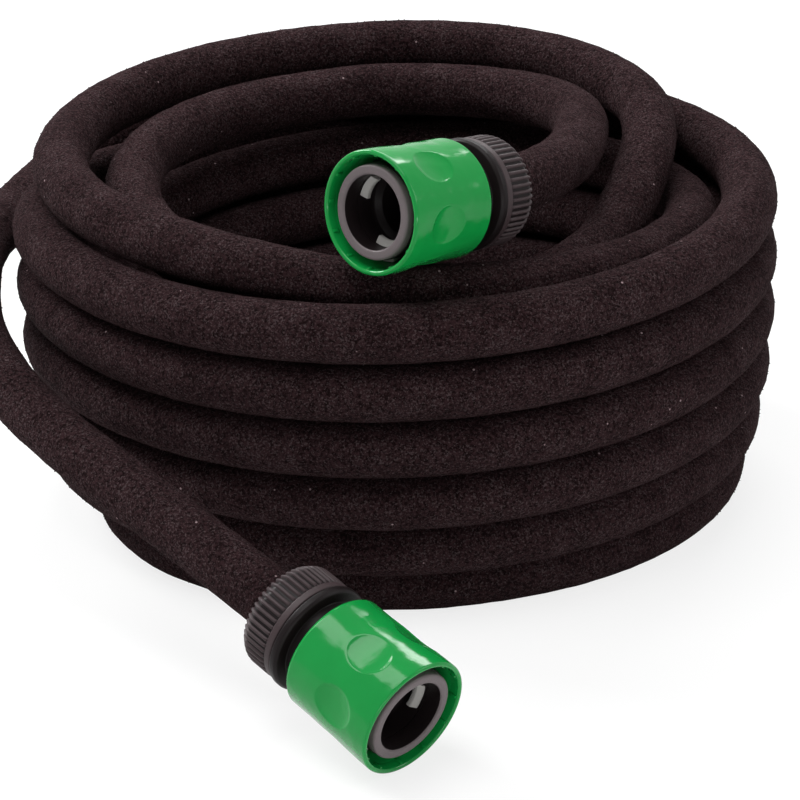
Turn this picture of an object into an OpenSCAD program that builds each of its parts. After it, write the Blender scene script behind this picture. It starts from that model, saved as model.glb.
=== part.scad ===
// Soaker hose: a wound porous rubber watering hose with a quick-release
// connector on each end. Millimetres, +Z up, the ground at z = 0.
// The origin is on the ground, under the middle of the whole object.

/* [Hose] */
// Outside diameter of the hose
hose_od = 16.5; // [16:0.1:16.5]
// Bore of the hose
hose_bore = 12.4; // [12.3:0.1:13]

/* [Coil] */
// Radius of the lowest outer turn, along the middle of the hose
bottom_turn_r = 88; // [87.5:0.1:88]
// Radius of the highest outer turn
top_turn_r = 105.2; // [105.2:0.1:105.6]
// Radius of the inner layer at its top
inner_top_r = 88; // [87.8:0.1:88.1]
// Radius of the inner layer at the ground
inner_bottom_r = 70.8; // [70:0.1:71]
// Distance between the middles of two turns that lie on each other
turn_pitch = 17.12; // [17.11:0.01:17.13]
// Number of turns in the outer layer
outer_turns = 6; // [6:1:6]
// Rings along each loop of the wound hose
loop_rings = 24; // [24:8:32]

/* [Connector] */
// Outside diameter of the sliding sleeve at the mouth
sleeve_od = 34.4; // [34:0.1:35]
// Length of the sliding sleeve
sleeve_l = 31.5; // [31.4:0.1:31.8]
// Bore of the deep seat that takes a plug-in fitting
seat_bore = 16.5; // [16:0.1:17]
// Bore of the mouth
mouth_bore = 20.6; // [20.4:0.1:21]
// Outside diameter of the ribbed nut
nut_od = 31; // [30.5:0.1:31.5]
// Number of ribs round the nut
nut_ribs = 50; // [40:1:56]

/* [Hidden] */

hose_color = "#2b2325";
black_color = "#262224";
ring_color = "#6a676b";
green_color = "#1e9137";
claw_color = "#b9b6b2";
steel_color = "#a8abb0";

// Where the coil's axis stands, so that the whole object is centred on the origin.
coil_at = [9.849, 45.273, 0];

// ---------------------------------------------------------------- the wound hose
hose_r = hose_od / 2;
form_sides = 6;
run_sides = 12;
// A run starts and ends straight for this length, so that its ends meet the hose squarely.
lead = hose_od / 4;
// The lowest turn is cut flat where it stands, a tenth of the diameter deep.
floor_cut = hose_od / 10;
floor_z = hose_r - floor_cut;

function ramp(t) = t <= 0 ? 0 : t >= 1 ? 1 : t * t * (3 - 2 * t);

// Each outer turn is wider than the one under it, fast at first and then slowly, and
// more so at the front of the coil, where front_share is 1, than at the back.
function front_share(a) = 0.35 + 0.65 * pow((1 - sin(a)) / 2, 2);
function turn_r(k, a) =
    top_turn_r - (top_turn_r - bottom_turn_r) * front_share(a)
        * pow(max(1 - k / (outer_turns - 1), 0), 3);
function whole_turn_z(k, a) =
    k <= 0 ? floor_z :
    whole_turn_z(k - 1, a)
        + sqrt(pow(turn_pitch, 2) - pow(turn_r(k, a) - turn_r(k - 1, a), 2));
function turn_z(k, a) =
    let (low = floor(k))
    whole_turn_z(low, a) + (k - low) * (whole_turn_z(low + 1, a) - whole_turn_z(low, a));

// Stations along the hose are angles that only grow, anticlockwise from above:
// 0 points right (+X), 90 back (+Y), 180 left and 270 to the front.
start_at = 105;
inner_from = 750;
inner_last_turn = 1910;
inner_to = 2270;
outer_from = 2460;
// The half turn that crosses outwards on the ground starts and ends here.
cross_to = inner_to + 140;
leave_from = outer_from + 360 * (outer_turns - 1) + 150;
end_at = leave_from + 80;
roll_out = 115;

// The loose top turns: [station, radius, height]. The first goes round inside, crosses
// out over the others on the right, and the second sinks inwards from left to front.
loose_turns = [
    [105, 82.3, 98.4], [180, 77.5, 97], [270, 73, 82.5], [330, 68.5, 86],
    [345, 69.5, 91], [360, 73.5, 96.5], [375, 80.3, 101.3], [390, 87.6, 104.7],
    [420, 96.6, 107.2], [450, 98.7, 108.1], [540, 98.2, 106.6], [585, 93.6, 104],
    [607, 90.2, 99.6], [630, 87.6, 94.2], [660, 87, 90.7], [690, 87.3, 87.3],
    [720, 87.8, 83.5], [750, inner_top_r, 80.5]
];
inner_top_z = loose_turns[len(loose_turns) - 1][2];

function slope(list, i, column) =
    i <= 0 || i >= len(list) - 1 ? 0 :
    (list[i + 1][column] - list[i - 1][column]) / (list[i + 1][0] - list[i - 1][0]);
function key_below(list, a, i = 0) =
    i >= len(list) - 2 || list[i + 1][0] > a ? i : key_below(list, a, i + 1);
function curve_at(list, a, column) =
    let (
        i = key_below(list, a),
        span = list[i + 1][0] - list[i][0],
        t = (a - list[i][0]) / span,
        h = list[i][column],
        k = list[i + 1][column]
    )
    (1 + 2 * t) * pow(1 - t, 2) * h + t * pow(1 - t, 2) * span * slope(list, i, column)
    + t * t * (3 - 2 * t) * k + t * t * (t - 1) * span * slope(list, i + 1, column);

// How far up the outer layer the hose has come, in turns. It climbs onto the next turn
// at the back left.
function turns_up(a) =
    let (
        n = floor((a - outer_from) / 360),
        b = a - outer_from - 360 * n
    )
    n + ramp((b - 150) / 120);

// The inner layer sinks by one pitch a turn, and more in its last turn, which lies over
// the half turn that crosses outwards.
last_turn_drop = 18.7;
function inner_z(a) =
    a > inner_last_turn ? floor_z + last_turn_drop * (inner_to - a) / (inner_to - inner_last_turn) :
    floor_z + last_turn_drop + (inner_top_z - floor_z - last_turn_drop)
        * (inner_last_turn - a) / (inner_last_turn - inner_from);

// [radius, height] of the hose's middle at a station
function section_at(a) =
    a <= inner_from ?
        [curve_at(loose_turns, a, 1), curve_at(loose_turns, a, 2)] :
    a <= inner_to ?
        let (t = (a - inner_from) / (inner_to - inner_from))
        [inner_top_r + min(1.35 * t, 1) * (inner_bottom_r - inner_top_r), inner_z(a)] :
    a <= outer_from ?
        let (t = ramp((a - inner_to) / (cross_to - inner_to)))
        [inner_bottom_r + t * (turn_r(0, a) - inner_bottom_r), floor_z] :
    a <= leave_from ?
        [turn_r(turns_up(a), a), turn_z(turns_up(a), a)] :
    let (
        under = turns_up(a) - 1,
        roll = roll_out * ramp((a - leave_from) / (end_at - leave_from)),
        off = turn_pitch + sin(roll)
    )
    [turn_r(under, a) + off * sin(roll), turn_z(under, a) + off * cos(roll)];

function coil_point(a) =
    let (s = section_at(a))
    coil_at + [s[0] * cos(a), s[0] * sin(a), s[1]];

function unit(v) = v / norm(v);
coil_rings = round((end_at - start_at) / 360 * loop_rings);
coil_step = (end_at - start_at) / coil_rings;
coil_turns = [for (i = [0:coil_rings]) coil_point(start_at + i * coil_step)];
// The two ends run straight for one diameter.
coil_start = coil_turns[0] - hose_od * unit(coil_point(start_at + 1) - coil_point(start_at));
coil_end = coil_turns[coil_rings]
    + hose_od * unit(coil_point(end_at) - coil_point(end_at - 1));
coil_path = concat([coil_start], coil_turns, [coil_end]);

// Free stretch from the coil's outside, down round the left, to the front connector:
// points chosen by hand, from the coil's axis.
front_route = [
    [-124.5, -14, 79], [-122, -42, 71], [-110.5, -68, 62], [-94, -90, 54.5],
    [-76, -111, 48.5], [-57, -131.5, 42]
];
// Free stretch from the top connector round to the coil's first turn
top_route = [
    [43.5, -41.5, 111.8], [51.5, -17, 108.3], [56, 9, 105.2], [57, 34, 102.5],
    [50.5, 56.5, 100.2], [34.5, 74.2, 98.6], [13, 82.9, 98.2]
];

function placed(route) = [for (p = route) coil_at + p];

// ---------------------------------------------------------------- the connectors
// A connector is drawn with its mouth at the origin, facing +Z, so a depth into it is
// a negative z. Each one: [middle of the mouth, tilt from +Z, turn about +Z].
front_mouth = [0.3, -192, 16.9];
front_tilt = 107;
front_turn = -47;
top_mouth = [-6.8, -101, 122.4];
top_tilt = 82;
top_turn = 226.5;
// How far the front connector's claws are turned round its own axis
front_claw_turn = 78;

function pointing(tilt, turn) = [sin(tilt) * cos(turn), sin(tilt) * sin(turn), cos(tilt)];
function depth_point(mouth, tilt, turn, depth) =
    coil_at + mouth - depth * pointing(tilt, turn);

sleeve_r = sleeve_od / 2;
sleeve_back_r = sleeve_r - 0.6;
seat_r = seat_bore / 2;
mouth_r = mouth_bore / 2;
nut_r = nut_od / 2;
fit = 0.08;
wall_fn = 96;

ring_front = 0.8;
ring_back = 3.2;
socket_depth = 14;
seat_depth = 25;
water_r = 4.6;
body_r = 13.3;
collar_r = 14.9;
collar_from = 26.8;
collar_to = 30.5;
neck_r = 12.2;
flange_from = 36.2;
flange_to = 38.8;
flange_r = 15.8;
skirt_r = 11.5;
skirt_to = 45;
tail_to = 54.5;
tail_r = 5.9;
barb_r = hose_bore / 2 + 0.1;
barb_tops = [44.5, 49, 53.5];
nut_from = 39.1;
nut_to = 51;
nut_bore_to = 46.3;
nut_cavity_to = 49.2;
nut_cavity_r = 10.9;
grip_from = 46.5;
grip_to = 49.1;
hose_end_from = 39.3;
hose_end_to = 55.5;
claw_from = 7;
claw_to = 10.5;
claw_w = 7;
claw_tip_r = 8.7;
cam_slope = 0.3;
cam_r = 13.45;
land_to = 13;
scoop_at = 13.5;
scoop_turn = 24;
scoop_round = 28;
scoop_deep = 1;
spring_wire = 1;
spring_turns = 5;
spring_r = 14.25;
spring_steps = 16;

// A ring or tube from a profile of [radius, depth] points
module turned(profile) {
    rotate_extrude($fn = wall_fn) polygon([for (p = profile) [p[0], -p[1]]]);
}

module tube_between(outer, inner, from, to) {
    difference() {
        translate([0, 0, -to]) cylinder(r = outer, h = to - from, $fn = wall_fn);
        translate([0, 0, -to - 1]) cylinder(r = inner, h = to - from + 2, $fn = wall_fn);
    }
}

module claw_window(extra) {
    translate([mouth_r - 3, -claw_w / 2 - extra, -claw_to - extra])
        cube([8, claw_w + 2 * extra, claw_to - claw_from + 2 * extra]);
}

module connector_body() {
    color(black_color)
    difference() {
        union() {
            turned([
                [mouth_r, 6.2], [11.5, 6.2], [11.5, ring_back], [body_r, ring_back],
                [body_r, collar_from], [collar_r, collar_from], [collar_r, collar_to],
                [neck_r, collar_to + 0.6], [neck_r, flange_from], [flange_r - 0.6, flange_from],
                [flange_r, flange_from + 0.8], [flange_r, flange_to], [skirt_r, flange_to],
                [skirt_r, skirt_to], [hose_r + 0.3, skirt_to], [hose_r + 0.3, hose_end_from],
                [tail_r, hose_end_from],
                for (top = barb_tops) each [[tail_r, top - 2.6], [barb_r, top], [tail_r, top + 0.2]],
                [5.2, tail_to], [water_r - 0.4, tail_to], [water_r - 0.4, seat_depth + 3],
                [water_r, seat_depth], [seat_r, seat_depth], [seat_r, socket_depth],
                [mouth_r - 0.4, socket_depth - 1.4], [mouth_r, socket_depth - 2.4]
            ]);
        }
        for (i = [0:2]) rotate([0, 0, 120 * i]) claw_window(0.12);
    }
}

module face_ring() {
    color(ring_color)
    turned([
        [mouth_r, ring_front + 0.5], [mouth_r + 0.5, ring_front], [12.6, ring_front],
        [13, ring_front + 0.4], [13, ring_back], [11.5, ring_back], [11.5, 6.1],
        [mouth_r, 6.1]
    ]);
}

// A shallow oval thumb scoop cut into the sleeve's outside
module scoop() {
    translate([sleeve_back_r + 0.15 + scoop_round - scoop_deep, 0, -scoop_at])
        rotate([90, 0, 0]) cylinder(r = scoop_round, h = 16, center = true, $fn = 180);
}

module sleeve() {
    color(green_color)
    difference() {
        turned([
            [16, 0], [sleeve_r - 0.5, 0], [sleeve_r, 0.6], [sleeve_r, 4],
            [sleeve_back_r, 24], [sleeve_back_r, sleeve_l - 0.8], [sleeve_back_r - 0.6, sleeve_l],
            [14, sleeve_l], [14, sleeve_l - 0.7], [collar_r + fit, sleeve_l - 0.7],
            [collar_r + fit, land_to], [body_r + fit, land_to], [body_r + fit, claw_to],
            [cam_r + cam_slope * (claw_to - 3.4), 3.4], [15.7, 3]
        ]);
        for (i = [0:5]) rotate([0, 0, 60 * i + scoop_turn]) scoop();
    }
}

// One claw: its outer face rides on the cone inside the sleeve.
module claw(i) {
    color(claw_color)
    rotate([0, 0, 120 * i])
    intersection() {
        claw_window(0);
        turned([
            [claw_tip_r, claw_from + 1.1], [claw_tip_r, claw_from + 2.5],
            [mouth_r + 0.2, claw_to], [cam_r - 0.1, claw_to],
            [cam_r - 0.1 + cam_slope * (claw_to - claw_from), claw_from],
            [mouth_r, claw_from]
        ]);
    }
}

// The return spring: one wire swept along a formula, wound round the body
module sleeve_spring() {
    steps = spring_turns * spring_steps;
    z0 = -land_to - 0.6;
    z1 = -collar_from + 0.6;
    path = [for (i = [0:steps])
        let (a = 360 * spring_turns * i / steps)
        [spring_r * cos(a), spring_r * sin(a), z0 + (z1 - z0) * i / steps]];
    color(steel_color) tube(path, spring_wire / 2, 6, false);
}

module grip_ring() {
    color(claw_color)
    difference() {
        turned([
            [hose_r + 0.25, grip_from], [9.6, grip_from], [10.6, grip_from + 1.2],
            [10.6, grip_to], [hose_r + 0.25, grip_to]
        ]);
        translate([0, -1.5, -grip_to - 1]) cube([12, 3, grip_to - grip_from + 2]);
    }
}

module nut() {
    rib_step = 360 / nut_ribs;
    groove_r = nut_r - 0.55;
    outline = [for (i = [0:nut_ribs - 1]) each [
        nut_r * [cos(i * rib_step - 0.2 * rib_step), sin(i * rib_step - 0.2 * rib_step)],
        nut_r * [cos(i * rib_step + 0.2 * rib_step), sin(i * rib_step + 0.2 * rib_step)],
        groove_r * [cos(i * rib_step + 0.32 * rib_step), sin(i * rib_step + 0.32 * rib_step)],
        groove_r * [cos(i * rib_step + 0.68 * rib_step), sin(i * rib_step + 0.68 * rib_step)]
    ]];
    color(black_color)
    difference() {
        union() {
            translate([0, 0, -nut_from - 2]) cylinder(r = nut_r - 0.1, h = 2, $fn = wall_fn);
            translate([0, 0, -nut_to + 1]) linear_extrude(nut_to - nut_from - 3) polygon(outline);
            turned([[0, nut_to - 1], [nut_r - 0.5, nut_to - 1], [nut_r - 1.6, nut_to], [0, nut_to]]);
        }
        translate([0, 0, -nut_bore_to]) cylinder(r = skirt_r + fit, h = 20, $fn = wall_fn);
        translate([0, 0, -nut_cavity_to]) cylinder(r = nut_cavity_r, h = 8, $fn = wall_fn);
        translate([0, 0, -nut_to - 1]) cylinder(r = hose_r + 0.35, h = 8, $fn = wall_fn);
    }
}

// The last of the hose, pushed over the tail
module hose_end() {
    color(hose_color) tube_between(hose_r, hose_bore / 2, hose_end_from + 0.1, hose_end_to);
}

module at_front(roll = 0) {
    translate(coil_at + front_mouth) rotate([0, front_tilt, front_turn])
        rotate([0, 0, roll]) children();
}

module at_top() {
    translate(coil_at + top_mouth) rotate([0, top_tilt, top_turn]) children();
}

// ---------------------------------------------------------------- swept tubes
// One closed polyhedron along a path. A ring's sides are level and upright, and a
// point below the ground is brought up to it where flat_foot is set.
module tube(path, r, sides, flat_foot) {
    last = len(path) - 1;
    heading = [for (i = [0:last])
        unit(path[min(i + 1, last)] - path[max(i - 1, 0)])];
    points = [for (i = [0:last])
        let (
            side = unit(cross(heading[i], [0, 0, 1])),
            up = cross(side, heading[i])
        )
        for (j = [0:sides - 1])
            let (
                a = 360 * j / sides,
                p = path[i] + r * (cos(a) * side + sin(a) * up)
            )
            flat_foot ? [p[0], p[1], max(p[2], 0)] : p];
    walls = [for (i = [0:last - 1], j = [0:sides - 1])
        let (
            a = i * sides + j,
            b = i * sides + (j + 1) % sides
        )
        each [[a, b, b + sides], [a, b + sides, a + sides]]];
    start_cap = [for (j = [1:sides - 2]) [0, j + 1, j]];
    far_ring = last * sides;
    end_cap = [for (j = [1:sides - 2]) [far_ring, far_ring + j, far_ring + j + 1]];
    polyhedron(points = points, faces = concat(start_cap, walls, end_cap), convexity = 10);
}

module hose_coil() {
    color(hose_color) tube(coil_path, hose_r, form_sides, true);
}

module front_run() {
    path = concat(
        [coil_end, coil_end + lead * unit(coil_end - coil_turns[coil_rings])],
        placed(front_route),
        [for (depth = [hose_end_to + lead, hose_end_to])
            depth_point(front_mouth, front_tilt, front_turn, depth)]);
    color(hose_color) tube(path, hose_r, run_sides, false);
}

module top_run() {
    path = concat(
        [for (depth = [hose_end_to, hose_end_to + lead])
            depth_point(top_mouth, top_tilt, top_turn, depth)],
        placed(top_route),
        [coil_start + lead * unit(coil_start - coil_turns[0]), coil_start]);
    color(hose_color) tube(path, hose_r, run_sides, false);
}

hose_coil();
front_run();
top_run();
at_front() hose_end();  // front_hose_end
at_front(front_claw_turn) connector_body();  // front_body
at_front() face_ring();  // front_face_ring
at_front() sleeve();  // front_sleeve
at_front() sleeve_spring();  // front_sleeve_spring
at_front(front_claw_turn) claw(0);  // front_claw_1
at_front(front_claw_turn) claw(1);  // front_claw_2
at_front(front_claw_turn) claw(2);  // front_claw_3
at_front() grip_ring();  // front_grip_ring
at_front() nut();  // front_nut
at_top() hose_end();  // top_hose_end
at_top() connector_body();  // top_body
at_top() face_ring();  // top_face_ring
at_top() sleeve();  // top_sleeve
at_top() sleeve_spring();  // top_sleeve_spring
at_top() claw(0);  // top_claw_1
at_top() claw(1);  // top_claw_2
at_top() claw(2);  // top_claw_3
at_top() grip_ring();  // top_grip_ring
at_top() nut();  // top_nut

// Least gap between the surfaces of any two stretches of the coil, and its length.
// Straight pieces of the tube's middle line are compared, not only their ends.
function within(t) = min(max(t, 0), 1);
function pieces_apart(p, q, r, s) =
    let (
        u = q - p,
        v = s - r,
        w = p - r,
        spread = (u * u) * (v * v) - (u * v) * (u * v),
        on_first = spread < 0.001 ? 0 : within(((u * v) * (v * w) - (v * v) * (u * w)) / spread),
        on_second = within(((u * v) * on_first + v * w) / (v * v)),
        again = within(((u * v) * on_second - u * w) / (u * u))
    )
    norm(w + again * u - on_second * v);
function run_length(path, i = 0, sum = 0) =
    i >= len(path) - 1 ? sum : run_length(path, i + 1, sum + norm(path[i + 1] - path[i]));
apart = floor(loop_rings / 3);
last_ring = len(coil_path) - 1;
near = 3 * hose_od;
least_gap = min([for (i = [0:last_ring - 1 - apart])
    min([for (j = [i + apart:last_ring - 1])
        norm(coil_path[i] - coil_path[j]) > near ? near :
        pieces_apart(coil_path[i], coil_path[i + 1], coil_path[j], coil_path[j + 1])])]) - hose_od;
echo(least_gap_of_the_coil_mm = least_gap);
echo(coil_length_mm = run_length(coil_path));
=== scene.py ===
"""Soaker hose: a wound porous rubber hose with a click-together connector on each end.

Lengths in the tables below are millimetres; everything in Blender is in metres.
"""
import math
from contextlib import contextmanager

import bmesh
import bpy
import numpy as np
from bpy.props import FloatProperty, FloatVectorProperty, IntProperty, PointerProperty
from mathutils import Matrix, Quaternion, Vector


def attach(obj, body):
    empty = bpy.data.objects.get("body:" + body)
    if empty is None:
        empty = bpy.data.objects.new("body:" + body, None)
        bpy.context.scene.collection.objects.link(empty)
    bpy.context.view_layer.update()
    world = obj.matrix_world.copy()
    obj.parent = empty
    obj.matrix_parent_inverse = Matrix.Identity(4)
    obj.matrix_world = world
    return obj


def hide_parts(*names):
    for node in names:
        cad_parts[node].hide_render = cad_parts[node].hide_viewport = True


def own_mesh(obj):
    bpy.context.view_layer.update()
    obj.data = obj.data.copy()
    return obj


bl_info = {
    "name": "Soaker Hose",
    "version": (1, 0, 0),
    "blender": (4, 5, 0),
    "location": "3D View > Sidebar > Soaker Hose",
    "description": "Makes a wound soaker hose with its two connectors",
    "category": "Object",
}

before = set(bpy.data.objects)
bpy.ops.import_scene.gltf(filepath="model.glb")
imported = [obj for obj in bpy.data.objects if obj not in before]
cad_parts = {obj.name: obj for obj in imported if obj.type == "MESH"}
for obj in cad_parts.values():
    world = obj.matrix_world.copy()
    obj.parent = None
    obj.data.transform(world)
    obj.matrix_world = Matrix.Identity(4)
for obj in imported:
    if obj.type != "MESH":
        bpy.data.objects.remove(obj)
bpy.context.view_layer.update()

MM = 0.001
SEED = 7

# ------------------------------------------------------------------ where it all lies
# The same numbers as in the part's source, in millimetres.
COIL_AT = Vector((9.849, 45.273, 0.0))
CONNECTORS = {
    # name: (middle of the mouth from the coil's axis, tilt from +Z, turn about +Z,
    #        turn of the claws round the connector's own axis)
    "front": ((0.3, -192.0, 16.9), 107.0, -47.0, 78.0),
    "top": ((-6.8, -101.0, 122.4), 82.0, 226.5, 0.0),
}
FRONT_ROUTE = [
    (-124.5, -14, 79), (-122, -42, 71), (-110.5, -68, 62), (-94, -90, 54.5),
    (-76, -111, 48.5), (-57, -131.5, 42),
]
TOP_ROUTE = [
    (43.5, -41.5, 111.8), (51.5, -17, 108.3), (56, 9, 105.2), (57, 34, 102.5),
    (50.5, 56.5, 100.2), (34.5, 74.2, 98.6), (13, 82.9, 98.2),
]
BOTTOM_TURN_R, TOP_TURN_R = 88.0, 105.2
INNER_TOP_R, INNER_BOTTOM_R = 88.0, 70.8
TURN_PITCH, OUTER_TURNS = 17.12, 6
FLOOR_Z = 6.6
# How much of the outer layer's lean is left at the back, where it leans least
BACK_LEAN = 0.35
# The inner layer has its lowest radius by 1 / INNER_HASTE of the way down
INNER_HASTE = 1.35
# Stations along the wound hose: degrees about the coil's axis that only grow
START_AT, INNER_FROM, INNER_LAST_TURN, INNER_TO = 105.0, 750.0, 1910.0, 2270.0
CROSS_TO, OUTER_FROM = 2410.0, 2460.0
RISE_FROM, RISE_OVER = 150, 120
LEAVE_FROM = OUTER_FROM + 360 * (OUTER_TURNS - 1) + RISE_FROM
END_AT, ROLL_OUT, LAST_TURN_DROP = LEAVE_FROM + 80, 115.0, 18.7
STATION_STEP = 5
LOOSE_TURNS = [
    # (station, radius, height)
    (105, 82.3, 98.4), (180, 77.5, 97), (270, 73, 82.5), (330, 68.5, 86),
    (345, 69.5, 91), (360, 73.5, 96.5), (375, 80.3, 101.3), (390, 87.6, 104.7),
    (420, 96.6, 107.2), (450, 98.7, 108.1), (540, 98.2, 106.6), (585, 93.6, 104),
    (607, 90.2, 99.6), (630, 87.6, 94.2), (660, 87, 90.7), (690, 87.3, 87.3),
    (720, 87.8, 83.5), (750, INNER_TOP_R, 80.5),
]
# Depths behind a connector's mouth of the hose that is pushed over its tail
HOSE_END = (39.4, 45.0, 50.5, 55.5)
# Length of the pieces that the curve through the knots is measured in
FINE_STEP = 0.8


def ramp(t):
    """0 below 0, 1 above 1 and a smooth step between."""
    t = min(max(t, 0.0), 1.0)
    return t * t * (3 - 2 * t)


def eased(t, span, low, low_slope, high, high_slope):
    """The cubic from low at t = 0 to high at t = 1, with these slopes over the span."""
    return (
        (1 + 2 * t) * (1 - t) ** 2 * low + t * (1 - t) ** 2 * span * low_slope
        + t * t * (3 - 2 * t) * high + t * t * (t - 1) * span * high_slope
    )


def turn_r(k, a):
    """Radius of outer turn k at station a: each turn is wider than the one under it."""
    lean = BACK_LEAN + (1 - BACK_LEAN) * ((1 - math.sin(math.radians(a))) / 2) ** 2
    left = max(1 - k / (OUTER_TURNS - 1), 0)
    return TOP_TURN_R - (TOP_TURN_R - BOTTOM_TURN_R) * lean * left ** 3


def whole_turn_z(k, a):
    """Height of outer turn k, a whole number, resting on the turns under it."""
    z = FLOOR_Z
    for i in range(1, k + 1):
        z += math.sqrt(TURN_PITCH ** 2 - (turn_r(i, a) - turn_r(i - 1, a)) ** 2)
    return z


def turn_z(k, a):
    """Height of the outer layer k turns up, at station a."""
    whole = math.floor(k)
    low, high = whole_turn_z(whole, a), whole_turn_z(whole + 1, a)
    return low + (k - whole) * (high - low)


def turns_up(a):
    """How far up the outer layer the hose has come, in turns."""
    whole = math.floor((a - OUTER_FROM) / 360)
    return whole + ramp((a - OUTER_FROM - 360 * whole - RISE_FROM) / RISE_OVER)


def inner_z(a):
    """Height of the inner layer, which comes down and ends with a steeper turn."""
    bottom = FLOOR_Z + LAST_TURN_DROP
    if a > INNER_LAST_TURN:
        return FLOOR_Z + LAST_TURN_DROP * (INNER_TO - a) / (INNER_TO - INNER_LAST_TURN)
    top = LOOSE_TURNS[-1][2]
    return bottom + (top - bottom) * (INNER_LAST_TURN - a) / (INNER_LAST_TURN - INNER_FROM)


def loose_at(a, column):
    """Radius (column 1) or height (column 2) of the loose top turns at station a."""
    i = max(n for n in range(len(LOOSE_TURNS) - 1) if LOOSE_TURNS[n][0] <= a)

    def slope(n):
        """Slope at row n, level at both ends of the table."""
        if n <= 0 or n >= len(LOOSE_TURNS) - 1:
            return 0.0
        before, after = LOOSE_TURNS[n - 1], LOOSE_TURNS[n + 1]
        return (after[column] - before[column]) / (after[0] - before[0])

    low, high = LOOSE_TURNS[i], LOOSE_TURNS[i + 1]
    span = high[0] - low[0]
    return eased(
        (a - low[0]) / span, span, low[column], slope(i), high[column], slope(i + 1)
    )


def coil_point(a):
    """The middle of the wound hose at station a, in degrees that only grow."""
    if a <= INNER_FROM:
        r, z = loose_at(a, 1), loose_at(a, 2)
    elif a <= INNER_TO:
        t = (a - INNER_FROM) / (INNER_TO - INNER_FROM)
        r = INNER_TOP_R + min(INNER_HASTE * t, 1) * (INNER_BOTTOM_R - INNER_TOP_R)
        z = inner_z(a)
    elif a <= OUTER_FROM:
        t = ramp((a - INNER_TO) / (CROSS_TO - INNER_TO))
        r, z = INNER_BOTTOM_R + t * (turn_r(0, a) - INNER_BOTTOM_R), FLOOR_Z
    elif a <= LEAVE_FROM:
        up = turns_up(a)
        r, z = turn_r(up, a), turn_z(up, a)
    else:
        under = turns_up(a) - 1
        roll = math.radians(ROLL_OUT * ramp((a - LEAVE_FROM) / (END_AT - LEAVE_FROM)))
        # It comes up to 1 mm clear of the turn under it as it rolls over
        off = TURN_PITCH + math.sin(roll)
        r = turn_r(under, a) + off * math.sin(roll)
        z = turn_z(under, a) + off * math.cos(roll)
    angle = math.radians(a)
    return COIL_AT + Vector((r * math.cos(angle), r * math.sin(angle), z))


def connector_place(name):
    """Matrix from a connector's own millimetres, mouth at the origin facing +Z, to metres."""
    mouth, tilt, turn, _ = CONNECTORS[name]
    return (
        Matrix.Translation((COIL_AT + Vector(mouth)) * MM)
        @ Matrix.Rotation(math.radians(turn), 4, "Z")
        @ Matrix.Rotation(math.radians(tilt), 4, "Y")
        @ Matrix.Scale(MM, 4)
    )


def depth_point(name, depth):
    """A point on a connector's axis, so deep behind its mouth, in millimetres."""
    return connector_place(name) @ Vector((0, 0, -depth)) / MM


def hose_knots(straight):
    """Points that the whole hose runs through, from the top connector to the front one."""
    depths = [*HOSE_END, HOSE_END[-1] + straight / 4]
    stations = np.linspace(START_AT, END_AT, round((END_AT - START_AT) / STATION_STEP) + 1)
    coil = [coil_point(a) for a in stations]
    back = (coil[0] - coil_point(START_AT + 1)).normalized()
    ahead = (coil[-1] - coil_point(END_AT - 1)).normalized()
    return (
        [depth_point("top", d) for d in depths]
        + [COIL_AT + Vector(p) for p in TOP_ROUTE]
        + [coil[0] + straight * back] + coil + [coil[-1] + straight * ahead]
        + [COIL_AT + Vector(p) for p in FRONT_ROUTE]
        + [depth_point("front", d) for d in reversed(depths)]
    )


def smooth_line(knots, step):
    """A smooth curve through the knots, as points one step apart."""
    p = np.array([tuple(k) for k in knots], float)
    # Each stretch takes the square root of its chord, so the curve doesn't overshoot
    gap = np.sqrt(np.linalg.norm(np.diff(p, axis=0), axis=1))
    t = np.concatenate([[0.0], np.cumsum(gap)])
    slope = np.empty_like(p)
    chord = np.diff(p, axis=0) / gap[:, None]
    before, after = gap[:-1, None], gap[1:, None]
    slope[1:-1] = (chord[:-1] * after + chord[1:] * before) / (before + after)
    slope[0], slope[-1] = chord[0], chord[-1]
    fine = []
    for i, span in enumerate(gap):
        pieces = max(2, math.ceil(span ** 2 / FINE_STEP))
        along = np.linspace(0, 1, pieces, endpoint=False)[:, None]
        fine.append(eased(along, span, p[i], slope[i], p[i + 1], slope[i + 1]))
    fine = np.concatenate(fine + [p[-1:]])
    run = np.concatenate([[0.0], np.cumsum(np.linalg.norm(np.diff(fine, axis=0), axis=1))])
    at = np.linspace(0, run[-1], round(run[-1] / step) + 1)
    return np.stack([np.interp(at, run, fine[:, c]) for c in range(3)], axis=1)


# ------------------------------------------------------------------ shader maths
class Wire:
    """A socket of a shader tree. Arithmetic on it adds Math nodes."""

    def __init__(self, shading, socket):
        self.shading, self.socket = shading, socket

    def math(self, operation, *values):
        """A Math node's result, from wires and numbers."""
        return self.shading.node("ShaderNodeMath", {"operation": operation}, values)["Value"]

    def __add__(self, other):
        return self.math("ADD", self, other)

    __radd__ = __add__

    def __sub__(self, other):
        return self.math("SUBTRACT", self, other)

    def __rsub__(self, other):
        return self.math("SUBTRACT", other, self)

    def __mul__(self, other):
        return self.math("MULTIPLY", self, other)

    __rmul__ = __mul__

    def step(self, low, high):
        """0 below low, 1 above high and a smooth step between."""
        return self.shading.node(
            "ShaderNodeMapRange", {"interpolation_type": "SMOOTHSTEP"},
            {"Value": self, "From Min": low, "From Max": high},
        )["Result"]


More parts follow.
